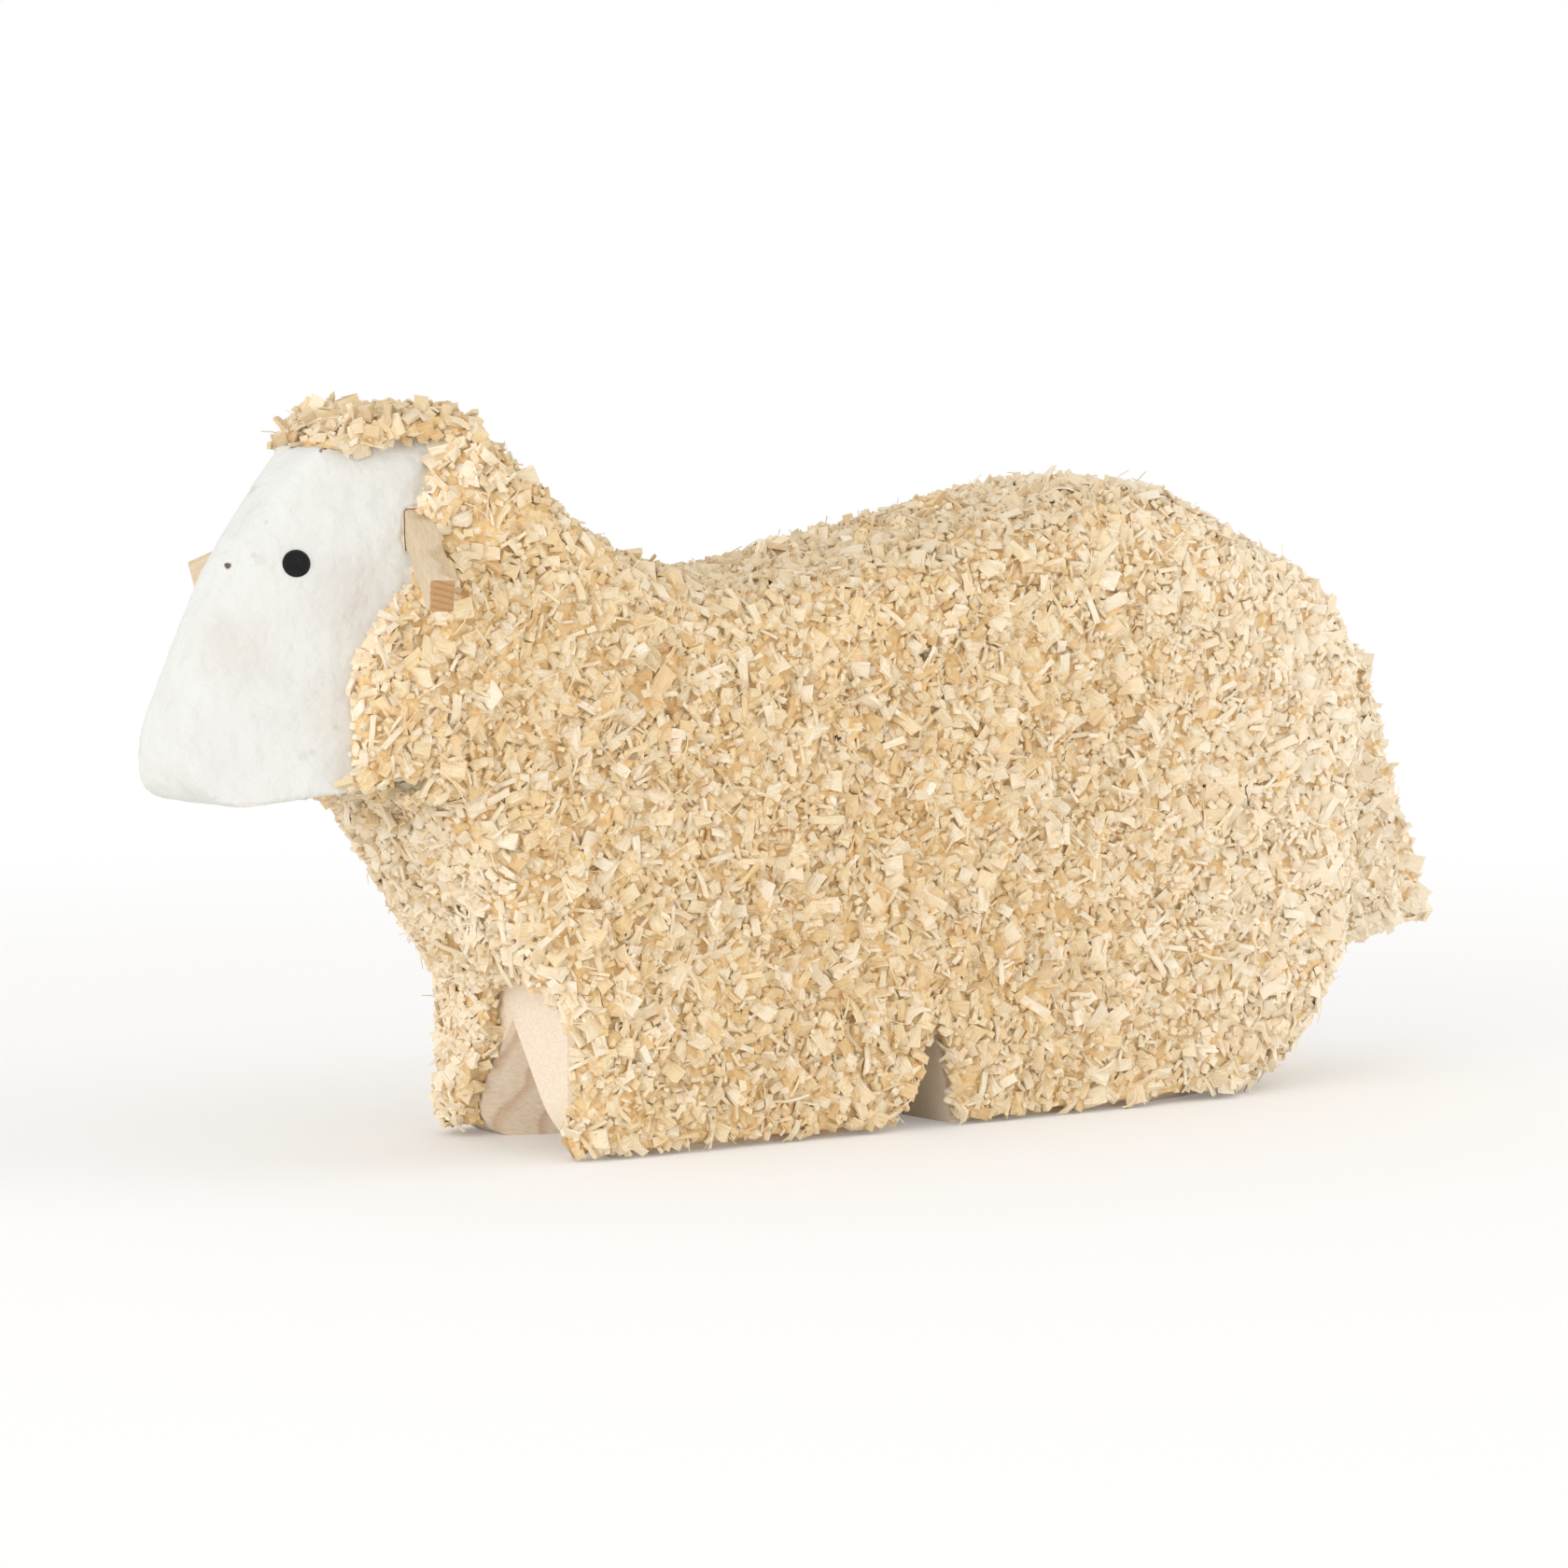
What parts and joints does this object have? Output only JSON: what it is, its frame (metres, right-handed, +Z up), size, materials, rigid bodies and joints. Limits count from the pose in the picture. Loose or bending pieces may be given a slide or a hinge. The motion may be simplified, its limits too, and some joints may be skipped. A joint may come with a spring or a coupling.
{
  "type": "sheep figurine",
  "caption": "Small wooden sheep ornament: a sawn and carved body with a coat of glued wood chips, a white painted face, dot eyes, sliver ears and a wedge tail.",
  "frame": {"origin": "on the floor, under the middle of the figure's length and width", "axes": "+X towards the tail, -X towards the nose, +Y towards the sheep's right flank, +Z up"},
  "size_m": [0.0781, 0.0236, 0.0373],
  "materials": {
    "bare_wood": "sawn and carved, raw",
    "wood_chips": "rough, glued chips",
    "white_paint": "brushed on, satin",
    "black_lacquer": "gloss",
    "ear_wood": "split, raw"
  },
  "bodies": {
    "root": {"wooden_body": "bare_wood", "fleece_coat": "wood_chips", "face_paint": "white_paint", "eye_left": "black_lacquer", "eye_right": "black_lacquer", "ear_left": "ear_wood", "ear_right": "ear_wood", "tail_wedge": "bare_wood", "tail_fleece": "wood_chips"}
  },
  "joints": []
}
